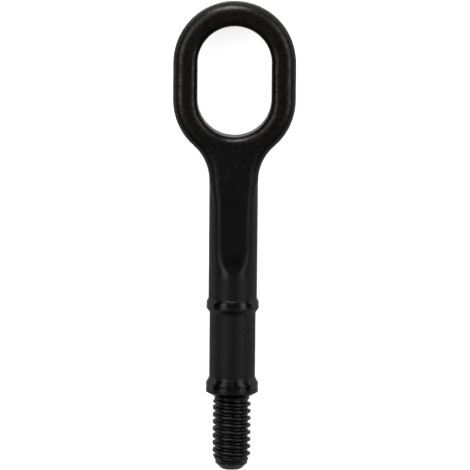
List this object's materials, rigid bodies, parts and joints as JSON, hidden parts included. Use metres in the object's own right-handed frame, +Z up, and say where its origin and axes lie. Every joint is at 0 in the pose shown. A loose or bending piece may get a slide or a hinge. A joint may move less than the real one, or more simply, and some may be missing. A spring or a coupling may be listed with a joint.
{
  "type": "tow eye",
  "caption": "Forged screw-in tow eye: an oblong ring on a flattened round shank with guide collars and a coarse left-hand thread, black coated.",
  "frame": {"origin": "on the surface it lies on, under the middle of its length and width", "axes": "+Y along the shank from the thread towards the eye, +Z up through the eye's hole, X across the eye"},
  "size_m": [0.051, 0.197, 0.0229],
  "materials": {
    "black_coating": "semi-gloss black coating on forged steel"
  },
  "bodies": {
    "root": {"tow_eye": "black_coating"}
  },
  "joints": []
}
